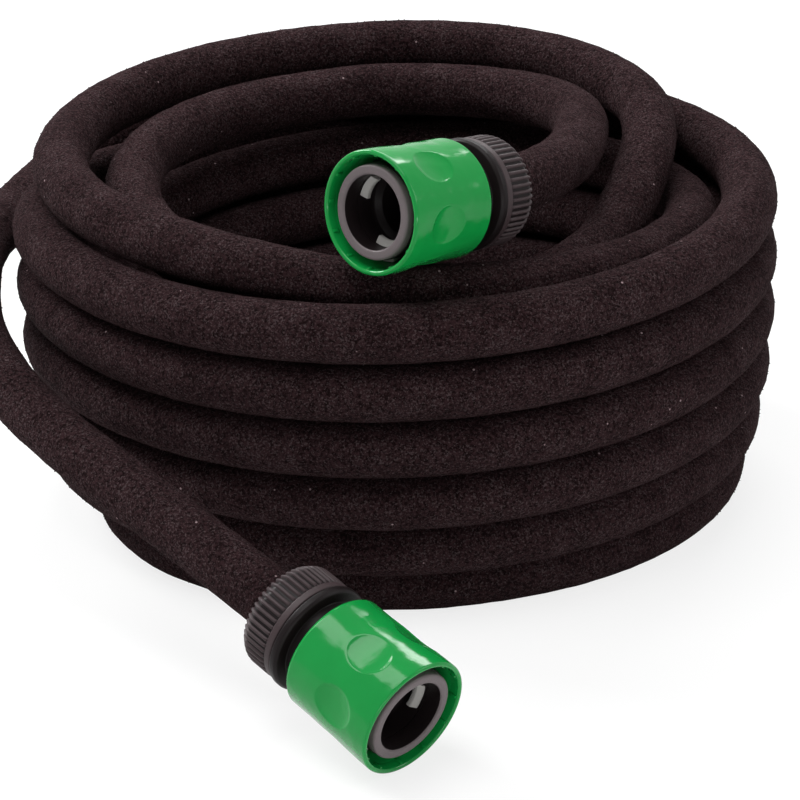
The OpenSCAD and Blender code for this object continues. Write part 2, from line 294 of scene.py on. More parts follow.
class Shading:
    """A shader tree under way."""

    def __init__(self, tree):
        self.tree = tree

    def node(self, kind, settings, values=()):
        """Adds a node, sets it up, and feeds its sockets; returns its outputs by name."""
        made = self.tree.nodes.new(kind)
        for name, value in settings.items():
            setattr(made, name, value)
        by_name = values if isinstance(values, dict) else {
            made.inputs[i].identifier: value for i, value in enumerate(values)
        }
        for socket in made.inputs:
            value = by_name.get(socket.identifier)
            if isinstance(value, Wire):
                self.tree.links.new(value.socket, socket)
            elif value is not None:
                socket.default_value = value
        return {socket.identifier: Wire(self, socket) for socket in made.outputs}

    def in_sight(self):
        """1 where the camera sees a place, also in a mirror or through glass, else 0."""
        path = self.node("ShaderNodeLightPath", {})
        seen = path["Is Camera Ray"] + path["Is Glossy Ray"] + path["Is Transmission Ray"]
        return seen.math("MINIMUM", seen, 1.0)

    def mixed(self, amount, low, high, end):
        """Mixes two shaders and ends a Material's or a World's tree with them."""
        mix = self.node("ShaderNodeMixShader", {}, [amount, low, high])["Shader"]
        self.node(f"ShaderNodeOutput{end}", {}, {"Surface": mix})


class Finish(Shading):
    """A material under way, with its one main shader."""

    def __init__(self, name, **fixed):
        self.material = bpy.data.materials.new(name)
        self.material.use_nodes = True
        super().__init__(self.material.node_tree)
        self.shader = self.tree.nodes["Principled BSDF"]
        for socket, value in fixed.items():
            self.shader.inputs[socket.replace("_", " ")].default_value = value
        self.place = self.node("ShaderNodeTexCoord", {})["Object"]

    def noise(self, size, detail=3.0, roughness=0.5):
        """Noise from 0 to 1 whose lumps are about size metres across."""
        return self.node("ShaderNodeTexNoise", {}, {
            "Vector": self.place, "Scale": 1 / size, "Detail": detail,
            "Roughness": roughness,
        })["Fac"]

    def cells(self, size):
        """Distance from the nearest of many scattered points, size metres apart."""
        return self.node("ShaderNodeTexVoronoi", {"feature": "F1"}, {
            "Vector": self.place, "Scale": 1 / size,
        })["Distance"]

    def mix(self, amount, low, high):
        """The colour low where amount is 0 and high where it is 1."""
        return self.node("ShaderNodeMix", {"data_type": "RGBA"}, {
            "Factor_Float": amount, "A_Color": low, "B_Color": high,
        })["Result_Color"]

    def bump(self, height, distance, strength=1.0):
        """A surface direction that makes a height from 0 to 1 look so many metres deep."""
        return self.node("ShaderNodeBump", {}, {
            "Height": height, "Distance": distance, "Strength": strength,
        })["Normal"]

    def set(self, **wires):
        """Feeds the shader's sockets and gives back the material."""
        for socket, wire in wires.items():
            self.tree.links.new(wire.socket, self.shader.inputs[socket.replace("_", " ")])
        return self.material


def shade(color, factor):
    """The colour made lighter or darker, as four numbers."""
    return (*[min(c * factor, 1.0) for c in color[:3]], 1.0)


def porous_rubber(name, color, fleck, lift=1.0):
    """Bonded rubber crumb: matt, pitted and napped, with paler dust; lift lightens it."""
    f = Finish(
        name, Specular_IOR_Level=0.015, Sheen_Weight=0.015, Sheen_Roughness=0.35,
        Sheen_Tint=(1.0, 0.74, 0.78, 1.0),
    )
    grain = f.noise(0.0010, detail=5.0, roughness=0.72)
    pits = f.cells(0.0012)
    patches = f.noise(0.011, roughness=0.6)
    pale = (grain * 0.85 + patches * 0.15 - pits * 0.14).step(0.34, 0.50)
    dust = (f.noise(0.0006, roughness=0.75) + patches * 0.15).step(0.61, 0.70)
    base = f.mix(pale, shade(color, 0.5 * lift), shade(color, 1.8 * lift))
    base = f.mix(dust * 0.6, base, shade(fleck, 1.1))
    # A bright grain of grit here and there
    grit = 1 - f.cells(0.008).step(0.03, 0.05)
    return f.set(
        Base_Color=f.mix(grit, base, shade(fleck, 3.2)),
        Roughness=0.98 - pale * 0.14,
        Normal=f.bump(grain - pits * 0.45 + dust * 0.15, distance=0.0020),
    )


def gloss_green(color):
    """Glossy moulded plastic with faint flow waves and handling marks."""
    f = Finish("gloss_green_plastic", Specular_IOR_Level=0.15, Coat_Roughness=0.05, IOR=1.5)
    flow = f.noise(0.013, detail=2.0)
    speck = f.noise(0.0012, detail=2.0)
    wear = f.noise(0.0035, detail=5.0, roughness=0.7).step(0.58, 0.72)
    base = f.mix(flow, shade(color, 0.9), shade(color, 1.08))
    return f.set(
        Base_Color=f.mix(wear * 0.10, base, shade(color, 1.5)),
        Roughness=0.13 + speck * 0.04 + wear * 0.1,
        Coat_Weight=0.12 - wear * 0.07,
        Normal=f.bump(flow + speck * 0.02, distance=0.0022, strength=0.4),
    )


def satin_plastic(name, color, roughness, gloss=0.18):
    """Spark-textured moulded plastic, a little paler where it has been rubbed."""
    f = Finish(name, Specular_IOR_Level=gloss, IOR=1.5)
    grain = f.noise(0.00035, detail=2.0)
    cloud = f.noise(0.009)
    rub = f.noise(0.0022, detail=5.0, roughness=0.7).step(0.55, 0.75)
    base = f.mix(cloud, shade(color, 0.88), shade(color, 1.1))
    return f.set(
        Base_Color=f.mix(rub * 0.35, base, shade(color, 1.45)),
        Roughness=roughness + cloud * 0.08 + rub * 0.1,
        Normal=f.bump(grain + cloud * 0.6, distance=0.00012, strength=0.5),
    )


def drawn_steel(color):
    """Bright drawn wire with fine scratches along it."""
    f = Finish("drawn_steel", Metallic=1.0)
    scratch = f.noise(0.00025, detail=4.0, roughness=0.7)
    return f.set(
        Base_Color=f.mix(scratch, shade(color, 0.8), shade(color, 1.1)),
        Roughness=0.24 + scratch * 0.2,
        Normal=f.bump(scratch, distance=0.00004, strength=0.5),
    )


# ------------------------------------------------------------------ mesh helpers
def add_object(name, mesh, material):
    """A new object in the scene, its mesh in one material."""
    piece = bpy.data.objects.new(name, mesh)
    bpy.context.scene.collection.objects.link(piece)
    mesh.materials.clear()
    mesh.materials.append(material)
    return piece


@contextmanager
def editing(mesh):
    """The mesh as a BMesh, which goes back into it at the end."""
    work = bmesh.new()
    work.from_mesh(mesh)
    yield work
    work.to_mesh(mesh)
    work.free()


def finished(mesh, sharp=34.0):
    """Smooth faces, with sharp edges where two of them meet at over so many degrees."""
    limit = math.radians(sharp)
    with editing(mesh) as work:
        for face in work.faces:
            face.smooth = True
        for edge in work.edges:
            edge.smooth = len(edge.link_faces) == 2 and edge.calc_face_angle(0.0) < limit
    return mesh


def mesh_of(name, verts, faces):
    """A mesh from its points and faces."""
    mesh = bpy.data.meshes.new(name)
    mesh.from_pydata([tuple(v) for v in verts], [], faces)
    mesh.validate()
    return mesh


def tube_faces(rows, sides, joined=False):
    """Faces between a tube's rings, and from its last ring to its first if joined."""
    return [
        (i * sides + j, i * sides + (j + 1) % sides,
         (i + 1) % rows * sides + (j + 1) % sides, (i + 1) % rows * sides + j)
        for i in range(rows if joined else rows - 1) for j in range(sides)
    ]


def capped_tube(name, rings):
    """A closed mesh with rings of points as its wall and a flat cap at each end."""
    rows, sides = rings.shape[:2]
    first = range(sides)
    caps = [tuple(first), tuple((rows - 1) * sides + j for j in reversed(first))]
    return outward(mesh_of(name, rings.reshape(-1, 3), tube_faces(rows, sides) + caps))


def outward(mesh):
    """The mesh with all its faces looking out."""
    with editing(mesh) as work:
        bmesh.ops.recalc_face_normals(work, faces=work.faces)
    return mesh


def rounded(profile, step):
    """A closed (radius, depth, rounding) profile, its corners arcs of step-degree pieces."""
    most = 0.49  # share of a side that the rounding of one corner may take
    points = []
    for i, (r, d, rounding) in enumerate(profile):
        here = Vector((r, d))
        if not rounding:
            points.append(here)
            continue
        before = Vector(profile[i - 1][:2]) - here
        after = Vector(profile[(i + 1) % len(profile)][:2]) - here
        half = before.angle(after) / 2
        back = min(rounding / math.tan(half), before.length * most, after.length * most)
        radius = back * math.tan(half)
        a, b = before.normalized(), after.normalized()
        middle = here + (a + b).normalized() * radius / math.sin(half)
        first = here + a * back - middle
        count = max(1, round(math.degrees(math.pi - 2 * half) / step))
        swing = first.angle_signed(here + b * back - middle)
        for n in range(count + 1):
            turned = first.copy()
            turned.rotate(Matrix.Rotation(-swing * n / count, 2))
            points.append(middle + turned)
    return points


def lathe(name, points, sides, dent=None):
    """A ring turned from a closed (radius, depth) profile; dent moves its points inwards."""
    verts = []
    for r, d in points:
        for j in range(sides):
            angle = 2 * math.pi * j / sides
            left = r - (dent(r, d, angle) if dent else 0.0)
            verts.append((left * math.cos(angle), left * math.sin(angle), -d))
    return outward(mesh_of(name, verts, tube_faces(len(points), sides, joined=True)))


def swept(line, radius, sides):
    """Rings of points for a tube along a line, carried along it without twisting."""
    line = np.asarray(line, float)
    ahead = np.gradient(line, axis=0)
    ahead /= np.linalg.norm(ahead, axis=1)[:, None]
    side = np.cross(ahead[0], (0.0, 0.0, 1.0))
    rings = []
    for point, way in zip(line, ahead):
        side = side - way * np.dot(side, way)
        side /= np.linalg.norm(side)
        up = np.cross(side, way)
        turn = 2 * np.pi * np.arange(sides)[:, None] / sides
        rings.append(point + radius * (np.cos(turn) * side + np.sin(turn) * up))
    return np.array(rings)


def faces_where(mesh, test):
    """For each face of a turned mesh, whether the test of its radius and depth holds."""
    return [
        test(math.hypot(face.center.x, face.center.y), -face.center.z)
        for face in mesh.polygons
    ]


def baked(piece, name):
    """The piece with its modifiers applied, as a new plain mesh; the piece is removed."""
    graph = bpy.context.evaluated_depsgraph_get()
    graph.update()
    mesh = bpy.data.meshes.new_from_object(piece.evaluated_get(graph), depsgraph=graph)
    mesh.name = name
    bpy.data.objects.remove(piece)
    return mesh


def geometry_nodes(piece, tree, **values):
    """Puts a node tree on a piece, with values for the tree's own inputs by name."""
    modifier = piece.modifiers.new(tree.name, "NODES")
    modifier.node_group = tree
    for item in tree.interface.items_tree:
        if item.item_type == "SOCKET" and item.in_out == "INPUT" and item.name in values:
            modifier[item.identifier] = values[item.name]
    return piece


class Nodes:
    """A geometry tree under way, with its group input and output."""

    def __init__(self, name, inputs):
        self.tree = bpy.data.node_groups.new(name, "GeometryNodeTree")
        face = self.tree.interface
        face.new_socket("Geometry", in_out="INPUT", socket_type="NodeSocketGeometry")
        for label, kind, default in inputs:
            face.new_socket(label, in_out="INPUT", socket_type=kind).default_value = default
        face.new_socket("Geometry", in_out="OUTPUT", socket_type="NodeSocketGeometry")
        self.inputs = self.add("NodeGroupInput").outputs

    def feed(self, socket, value):
        """Gives an input another node's output or a plain value."""
        if isinstance(value, bpy.types.NodeSocket):
            self.tree.links.new(value, socket)
        else:
            socket.default_value = value

    def add(self, kind, settings=None, **values):
        """Adds a node, sets it up and feeds its inputs by name; returns the node."""
        node = self.tree.nodes.new(kind)
        for name, value in (settings or {}).items():
            setattr(node, name, value)
        for label, value in values.items():
            self.feed(node.inputs[label.replace("_", " ")], value)
        return node

    def math(self, operation, *values):
        """A Math node's result."""
        node = self.add("ShaderNodeMath", {"operation": operation})
        for socket, value in zip(node.inputs, values):
            self.feed(socket, value)
        return node.outputs["Value"]

    def random(self, kind, low, high, seed):
        """A random value for each point; kind is FLOAT or FLOAT_VECTOR."""
        node = self.add("FunctionNodeRandomValue", {"data_type": kind}, Seed=seed)
        wanted = "VALUE" if kind == "FLOAT" else "VECTOR"
        for socket in node.inputs:
            if socket.type == wanted and socket.name in ("Min", "Max"):
                socket.default_value = low if socket.name == "Min" else high
        return next(s for s in node.outputs if s.type == wanted)

    def copies(self, points, instance, turn, **more):
        """The instance on every point, turned as asked."""
        return self.add(
            "GeometryNodeInstanceOnPoints", Points=points.outputs["Points"],
            Instance=instance, Rotation=turn, **more,
        ).outputs["Instances"]

    def end(self, geometry, material):
        """Real meshes and their material, and then the way out."""
        real = self.add("GeometryNodeRealizeInstances", Geometry=geometry)
        painted = self.add(
            "GeometryNodeSetMaterial", Geometry=real.outputs["Geometry"], Material=material
        )
        self.add("NodeGroupOutput", Geometry=painted.outputs["Geometry"])
        return self.tree


def ring_of_copies(material):
    """The piece's own mesh, copied evenly round its Z axis."""
    n = Nodes("ring_of_copies", [("Count", "NodeSocketInt", SNAP_TEETH)])
    points = n.add("GeometryNodePoints", Count=n.inputs["Count"])
    index = n.add("GeometryNodeInputIndex").outputs["Index"]
    angle = n.math("MULTIPLY", index, n.math("DIVIDE", 2 * math.pi, n.inputs["Count"]))
    turn = n.add("ShaderNodeCombineXYZ", Z=angle).outputs["Vector"]
    return n.end(n.copies(points, n.inputs["Geometry"], turn), material)


def scattered_crumbs(material):
    """Small three-sided spikes scattered over the piece's faces, standing on them."""
    n = Nodes("scattered_crumbs", [
        ("Density", "NodeSocketFloat", 100000.0), ("Crumb Size", "NodeSocketFloat", 0.0005),
        ("Seed", "NodeSocketInt", SEED),
    ])
    points = n.add(
        "GeometryNodeDistributePointsOnFaces", {"distribute_method": "RANDOM"},
        Mesh=n.inputs["Geometry"], Density=n.inputs["Density"], Seed=n.inputs["Seed"],
    )
    crumb = n.add(
        "GeometryNodeMeshCone", {"fill_type": "NGON"},
        Vertices=3, Radius_Top=0.0, Radius_Bottom=0.75, Depth=1.0,
    )
    # A crumb's share of the crumb size, and how far it leans and turns, in radians
    share = n.random("FLOAT", 0.35, 1.0, n.inputs["Seed"])
    most = (0.6, 0.6, 3.1)
    lean = n.random("FLOAT_VECTOR", tuple(-angle for angle in most), most, n.inputs["Seed"])
    leant = n.add(
        "FunctionNodeRotateRotation", {"rotation_space": "LOCAL"},
        Rotation=points.outputs["Rotation"], Rotate_By=lean,
    )
    crumbs = n.copies(
        points, crumb.outputs["Mesh"], leant.outputs["Rotation"],
        Scale=n.math("MULTIPLY", share, n.inputs["Crumb Size"]),
    )
    return n.end(crumbs, material)


# Points of a CAD mesh this close are one (m), faces this flat are one, and edges where two
# faces meet at more than this are broken
MERGE_WITHIN, FLAT_WITHIN, BEVEL_OVER = 1e-6, math.radians(1.0), math.radians(40)


def cad_copy(node, name, bevel):
    """A CAD node's shape merged, cleaned and with its edges broken, as a new mesh."""
    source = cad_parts[node]
    mesh = source.data.copy()
    mesh.name = name
    mesh.transform(source.matrix_world)
    with editing(mesh) as work:
        bmesh.ops.remove_doubles(work, verts=work.verts, dist=MERGE_WITHIN)
        bmesh.ops.dissolve_limit(
            work, angle_limit=FLAT_WITHIN, verts=work.verts, edges=work.edges
        )
        bmesh.ops.recalc_face_normals(work, faces=work.faces)
    piece = bpy.data.objects.new(name, mesh)
    bpy.context.scene.collection.objects.link(piece)
    edge = piece.modifiers.new("broken edges", "BEVEL")
    edge.width = bevel
    edge.segments = 2
    edge.angle_limit = BEVEL_OVER
    edge.harden_normals = False
    return finished(baked(piece, name))


# ------------------------------------------------------------------ what a user can change
def color_property(name, description, default):
    """A colour that a user can change."""
    return FloatVectorProperty(
        name=name, description=description, subtype="COLOR", default=default,
        min=0.0, max=1.0,
    )


class HoseSettings(bpy.types.PropertyGroup):
    """Size and look of the hose"""
    diameter: FloatProperty(
        name="Diameter", description="Outside diameter of the hose",
        default=0.0165, min=0.016, max=0.0165, unit="LENGTH",
    )
    bore: FloatProperty(
        name="Bore", description="Bore of the hose",
        default=0.0124, min=0.0123, max=0.013, unit="LENGTH",
    )
    sides: IntProperty(
        name="Sides", description="Faces round the hose", default=24, min=12, max=32,
    )
    ring_step: FloatProperty(
        name="Ring Step", description="Distance between two rings along the hose",
        default=0.0031, min=0.002, max=0.006, unit="LENGTH",
    )
    roughness: FloatProperty(
        name="Unevenness", description="How far the rubber's surface wanders in and out",
        default=0.00012, min=0.0, max=0.0002, unit="LENGTH",
    )
    crumb_density: FloatProperty(
        name="Crumb Density", description="Loose crumbs of rubber on each square metre",
        default=112000.0, min=0.0, max=120000.0,
    )
    crumb_size: FloatProperty(
        name="Crumb Size", description="Height of the largest crumbs",
        default=0.00042, min=0.0002, max=0.001, unit="LENGTH",
    )
    color: color_property("Rubber", "Colour of the rubber", (0.0205, 0.0100, 0.0110))
    fleck: color_property("Flecks", "Colour of the paler flecks", (0.125, 0.092, 0.096))


class ConnectorSettings(bpy.types.PropertyGroup):
    """Size and look of both connectors"""
    sleeve_diameter: FloatProperty(
        name="Sleeve Diameter", description="Outside diameter of the sliding sleeve",
        default=0.0344, min=0.034, max=0.035, unit="LENGTH",
    )
    sleeve_length: FloatProperty(
        name="Sleeve Length", description="Length of the sliding sleeve",
        default=0.0315, min=0.0314, max=0.0318, unit="LENGTH",
    )
    scoops: IntProperty(
        name="Scoops", description="Thumb scoops round the sleeve", default=6, min=3, max=8,
    )
    nut_diameter: FloatProperty(
        name="Nut Diameter", description="Outside diameter of the ribbed nut",
        default=0.031, min=0.0305, max=0.0315, unit="LENGTH",
    )
    nut_ribs: IntProperty(
        name="Nut Ribs", description="Ribs round the nut", default=50, min=40, max=56,
    )
    green: color_property("Sleeve Green", "Colour of the sleeve", (0.004, 0.210, 0.038))
    black: color_property("Body Black", "Colour of the body", (0.0080, 0.0056, 0.0060))
    nut_grey: color_property("Nut Grey", "Colour of the nut", (0.036, 0.024, 0.026))
    ring_grey: color_property(
        "Ring Grey", "Colour of the ring round the mouth", (0.108, 0.090, 0.094)
    )
    claw_grey: color_property("Claw Grey", "Colour of the claws", (0.34, 0.33, 0.315))
    steel: color_property("Steel", "Colour of the springs", (0.58, 0.58, 0.60))


class StageSettings(bpy.types.PropertyGroup):
    """The floor and the light"""
    floor: color_property("Floor", "Colour of the floor", (0.90, 0.90, 0.90))
    floor_white: FloatProperty(
        name="Floor Lift", description="How far the seen floor is lifted towards white",
        default=0.8, min=0.0, max=1.0, subtype="FACTOR",
    )
    world: FloatProperty(
        name="Sky", description="Strength of the even light from all round",
        default=0.24, min=0.0, max=1.0,
    )
    key: FloatProperty(
        name="Key Light", description="Power of the main soft box",
        default=15.0, min=0.0, max=60.0, unit="POWER",
    )


class AllSettings(bpy.types.PropertyGroup):
    """All that a user can change"""
    hose: PointerProperty(type=HoseSettings)
    connector: PointerProperty(type=ConnectorSettings)
    stage: PointerProperty(type=StageSettings)


def settings():
    """The settings of the scene that is open."""
    return bpy.context.scene.soaker_hose_settings


def material(name):
    """The named finish, made the first time it is asked for."""
    if name in bpy.data.materials:
        return bpy.data.materials[name]
    hose, fitting = settings().hose, settings().connector
    makers = {
        "porous_rubber": lambda: porous_rubber("porous_rubber", hose.color, hose.fleck),
        "crumb_rubber": lambda: porous_rubber(
            "crumb_rubber", hose.color, hose.fleck, lift=1.5
        ),
        "gloss_green_plastic": lambda: gloss_green(fitting.green),
        "black_plastic": lambda: satin_plastic(
            "black_plastic", fitting.black, roughness=0.34, gloss=0.09
        ),
        "nut_plastic": lambda: satin_plastic("nut_plastic", fitting.nut_grey, 0.44),
        "ring_plastic": lambda: satin_plastic("ring_plastic", fitting.ring_grey, 0.4),
        "claw_plastic": lambda: satin_plastic("claw_plastic", fitting.claw_grey, 0.4),
        "drawn_steel": lambda: drawn_steel(fitting.steel),
    }
    return makers[name]()


# ------------------------------------------------------------------ the connectors' measures
# Radii and depths behind the mouth, in millimetres. Profiles are rows of
# (radius, depth, rounding of the corner).
BORE_R, SEAT_R = 10.3, 8.25
BODY_PROFILE = [
    (BORE_R, 6.2, 0.0), (11.5, 6.2, 0.0), (11.5, 3.2, 0.0), (13.3, 3.2, 0.2),
    (13.3, 26.8, 0.0), (14.9, 26.8, 0.25), (14.9, 30.5, 0.35), (12.2, 31.1, 0.3),
    (12.2, 36.2, 0.4), (15.2, 36.2, 0.6), (15.8, 37.0, 0.6), (15.8, 38.8, 0.5),
    (11.5, 38.8, 0.2), (11.5, 45.0, 0.3), (8.55, 45.0, 0.2), (8.55, 39.3, 0.0),
    (5.9, 39.3, 0.0), (5.9, 41.9, 0.0), (6.2, 44.5, 0.0), (5.9, 44.7, 0.0),
    (5.9, 46.4, 0.0), (6.2, 49.0, 0.0), (5.9, 49.2, 0.0), (5.9, 50.9, 0.0),
    (6.2, 53.5, 0.0), (5.9, 53.7, 0.0), (5.2, 54.5, 0.0), (4.2, 54.5, 0.0),
    (4.2, 28.0, 0.0), (4.6, 25.0, 0.0), (SEAT_R, 25.0, 0.3), (SEAT_R, 14.0, 0.4),
    (BORE_R - 0.4, 12.6, 0.3), (BORE_R, 11.6, 0.3),
]
MOUTH_RING_PROFILE = [
    (BORE_R, 0.8, 0.6), (13.0, 0.8, 0.7), (13.0, 3.2, 0.0), (11.5, 3.2, 0.0),
    (11.5, 6.1, 0.0), (BORE_R, 6.1, 0.15),
]
BODY_SIDES, SLEEVE_SIDES, NUT_SIDES = 144, 384, 150

# The claws' windows through the body's wall, and how far the CAD pieces' edges are broken
CLAWS = 3
WINDOW_AT, WINDOW_SIZE = (BORE_R + 1.0, 0.0, -8.75), (8.0, 7.24, 3.74)
BROKEN_EDGES = {"claw_1": 0.25, "claw_2": 0.25, "claw_3": 0.25, "grip_ring": 0.2}

# How much narrower the sleeve is at its back, and how far in from there is still outside
SLEEVE_TAPER, OUTSIDE_WITHIN = 0.6, 0.1
# Each scoop is an oval dent, the rounder the lower its power (0.5 is an ellipsoid), and
# the rings of points on the sleeve's outside are one step apart
SCOOP_AT, SCOOP_TURN, SCOOP_DEEP, SCOOP_POWER = 13.5, math.radians(24), 1.0, 0.7
SCOOP_HALF_LENGTH, SCOOP_HALF_WIDTH, SCOOP_RING_STEP = 6.6, 5.6, 0.3
SNAP_TEETH = 12

# The nut's ribs: the height of one and of its ends, its half width as a share of the pitch,
# the depth where they begin, and the section
RIB_HIGH, RIB_END_SHARE, RIB_HALF_SHARE, RIBS_FROM = 0.55, 0.25, 0.32, 41.5
RIB_SECTION = (
    # (across in half widths, up in heights)
    (-1.0, -0.4), (-0.62, 0.72), (-0.25, 1.0), (0.25, 1.0), (0.62, 0.72), (1.0, -0.4),
)

# The springs, and how far a sleeve slides back on one
SPRING_TURNS, SPRING_R, SPRING_FROM, SPRING_TO = 5, 14.25, 13.6, 26.2
WIRE_R, WIRE_SIDES, WIRE_STEPS = 0.5, 10, 40


# ------------------------------------------------------------------ pieces
def add_part(name, part, mesh, finish, body, stands_for=None, black_and_shade_faces=None):
    """Puts a mesh made at the origin on its connector; the listed faces get black plastic,
    for the black bore behind a mouth ring and as painted shade in a nut's grooves.
    """
    mesh.transform(connector_place(name))
    piece = add_object(f"{name}_{part}", mesh, material(finish))
    if black_and_shade_faces:
        mesh.materials.append(material("black_plastic"))
        mesh.polygons.foreach_set("material_index", black_and_shade_faces)
    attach(piece, body)
    if stands_for:
        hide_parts(stands_for)
    return piece


def copied_round(mesh, finish, count, name):
    """A mesh copied evenly round its connector's axis, as a new mesh."""
    piece = add_object(name, mesh, material(finish))
    return baked(geometry_nodes(piece, ring_of_copies(material(finish)), Count=count), name)


def crumb_bed(rings, line, least_z):
    """The hose's outside above a height, as a mesh whose faces look out from the line."""
    points = rings.reshape(-1, 3)
    keep = [
        face for face in tube_faces(*rings.shape[:2])
        if min(points[v][2] for v in face) > least_z
    ]
    mesh = mesh_of("hose_crumbs", points, keep)
    with editing(mesh) as work:
        first = next(iter(work.faces))
        if first.normal.dot(first.calc_center_median() - Vector(line[0])) < 0:
            bmesh.ops.reverse_faces(work, faces=work.faces)
    return mesh


def sleeve_outline(front_r, length):
    """The sleeve's rounded profile, with close rings on its outside for the scoops."""
    back_r = front_r - SLEEVE_TAPER
    outline = rounded([
        (15.75, 0.0, 0.7), (front_r, 0.0, 1.0), (front_r, 4.0, 2.5),
        (back_r, 24.0, 4.0), (back_r, length - 0.9, 0.3), (back_r - 0.6, length, 0.3),
        (14.05, length, 0.15), (14.05, length - 0.7, 0.0), (14.98, length - 0.7, 0.0),
        (14.98, 13.0, 0.0), (13.38, 13.0, 0.15), (13.38, 10.5, 0.0),
        (15.58, 3.4, 0.3), (15.75, 3.0, 0.2),
    ], step=12.0)
    points = []
    for i, point in enumerate(outline):
        following = outline[(i + 1) % len(outline)]
        points.append(point)
        if min(point.x, following.x) > back_r - OUTSIDE_WITHIN:
            pieces = max(1, round((following - point).length / SCOOP_RING_STEP))
            points += [point.lerp(following, n / pieces) for n in range(1, pieces)]
    return points


def snap_tooth():
    """One small rib on the sleeve's inside, behind its front rim, as a mesh."""
    half, low, high = 0.35, 15.3, 15.9
    verts = []
    for depth, inner in ((0.7, high - 0.5), (1.3, low), (2.3, low), (2.9, high - 0.4)):
        for side in (-half, half):
            verts += [(inner, side, -depth), (high, side * 1.5, -depth)]
    faces = [(0, 1, 3, 2), (12, 14, 15, 13)]
    for row in range(3):
        a, b = row * 4, row * 4 + 4
        faces += [(a, a + 2, b + 2, b), (a + 1, b + 1, b + 3, a + 3),
                  (a, b, b + 1, a + 1), (a + 2, a + 3, b + 3, b + 2)]
    return outward(mesh_of("tooth", verts, faces))


def body_mesh(name):
    """A connector's body, turned and with its claws' windows cut out."""
    mesh = lathe("body", rounded(BODY_PROFILE, step=24.0), BODY_SIDES)
    body = add_object("body", mesh, material("black_plastic"))
    windows = bpy.data.meshes.new("windows")
    with editing(windows) as work:
        for claw in range(CLAWS):
            turn = math.radians(CONNECTORS[name][3] + 360 // CLAWS * claw)
            place = Matrix.Rotation(turn, 4, "Z") @ Matrix.Translation(WINDOW_AT)
            size = Matrix.Diagonal((*WINDOW_SIZE, 1.0))
            bmesh.ops.create_cube(work, size=1.0, matrix=place @ size)
    cutter = add_object("windows", windows, material("black_plastic"))
    cut = body.modifiers.new("windows", "BOOLEAN")
    cut.object, cut.operation, cut.solver = cutter, "DIFFERENCE", "EXACT"
    made = finished(baked(body, f"{name}_body"), sharp=30.0)
    bpy.data.objects.remove(cutter)
    return made


def nut_rib(half_width, line):
    """One rib along a line of (radius, depth) on the nut's outside, as a mesh."""
    rings = []
    for i, (r, depth) in enumerate(line):
        before, after = line[max(i - 1, 0)], line[min(i + 1, len(line) - 1)]
        along = (Vector(after) - Vector(before)).normalized()
        # Low at its two ends and of full height between them
        lift = RIB_HIGH * (RIB_END_SHARE if i in (0, len(line) - 1) else 1.0)
        rings.append([
            (r + along.y * lift * up, side * half_width, along.x * lift * up - depth)
            for side, up in RIB_SECTION
        ])
    return capped_tube("rib", np.array(rings))


# ------------------------------------------------------------------ operators
class SOAKER_OT_camera(bpy.types.Operator):
    """Adds the camera in front of the hose, a little above it"""
    bl_idname = "soaker.camera"
    bl_label = "Camera"

    def execute(self, context):
        lens, distance, elevation, roll = 162.6, 1.1, math.radians(22.5), math.radians(-2.0)
        # What the camera looks at, from the middle of the coil's footprint
        target = (COIL_AT + Vector((-0.4, 0.0, 26.0))) * MM
        back = Vector((0.0, -math.cos(elevation), math.sin(elevation)))
        data = bpy.data.cameras.new("camera")
        data.lens, data.sensor_width = lens, 36.0
        data.clip_start, data.clip_end = 0.01, 100.0
        camera = bpy.data.objects.new("camera", data)
        context.scene.collection.objects.link(camera)
        camera.location = target + back * distance
        camera.rotation_mode = "QUATERNION"
        camera.rotation_quaternion = (
            (-back).to_track_quat("-Z", "Y") @ Quaternion((0.0, 0.0, 1.0), roll)
        )
        context.scene.camera = camera
        return {"FINISHED"}


class SOAKER_OT_hose(bpy.types.Operator):
    """Adds the whole hose as one tube, bored at both ends"""
    bl_idname = "soaker.hose"
    bl_label = "Hose"

    def execute(self, context):
        size = settings().hose
        radius = size.diameter / 2
        line = smooth_line(hose_knots(size.diameter / MM), size.ring_step / MM) * MM
        rings = swept(line, radius, size.sides)
        out = (rings - line[:, None, :]) / radius
        wander = np.random.default_rng(SEED).uniform(-1, 1, rings.shape[:2])
        wander = (wander + np.roll(wander, 1, 0) + np.roll(wander, 1, 1)) / 2
        rings = rings + out * wander[:, :, None] * size.roughness
        rings[:, :, 2] = np.maximum(rings[:, :, 2], 0.0)
        inside = line[:, None, :] + out * size.bore / 2
        # From the plug inside the first end, out, along the whole hose and back in
        plug = round((HOSE_END[-1] - HOSE_END[0]) * MM / size.ring_step)
        last = len(rings) - plug - 2
        tube = np.concatenate([inside[plug::-1], rings, inside[:last:-1]])
        mesh = finished(capped_tube("soaker_hose", tube), sharp=50.0)
        hose = add_object("soaker_hose", mesh, material("porous_rubber"))
        hose["line"] = [float(x) for x in line.reshape(-1)]

        # Crumbs lie only where the hose is clear of both connectors
        open_air = slice(plug + 2, last)
        bed = add_object(
            "crumb_bed", crumb_bed(rings[open_air], line[open_air], size.crumb_size),
            material("porous_rubber"),
        )
        geometry_nodes(
            bed, scattered_crumbs(material("crumb_rubber")),
            **{"Density": size.crumb_density, "Crumb Size": size.crumb_size, "Seed": SEED},
        )
        fuzz = add_object("hose_crumbs", baked(bed, "hose_crumbs"), material("crumb_rubber"))
        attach(hose, "root")
        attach(fuzz, "root")
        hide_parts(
            "hose_coil", "front_run", "top_run", "front_hose_end", "top_hose_end"
        )
        return {"FINISHED"}


def declare_hose():
    """Takes the stored line off the hose, once its connectors' pieces are there."""
    hose = bpy.data.objects["soaker_hose"]
    del hose["line"]


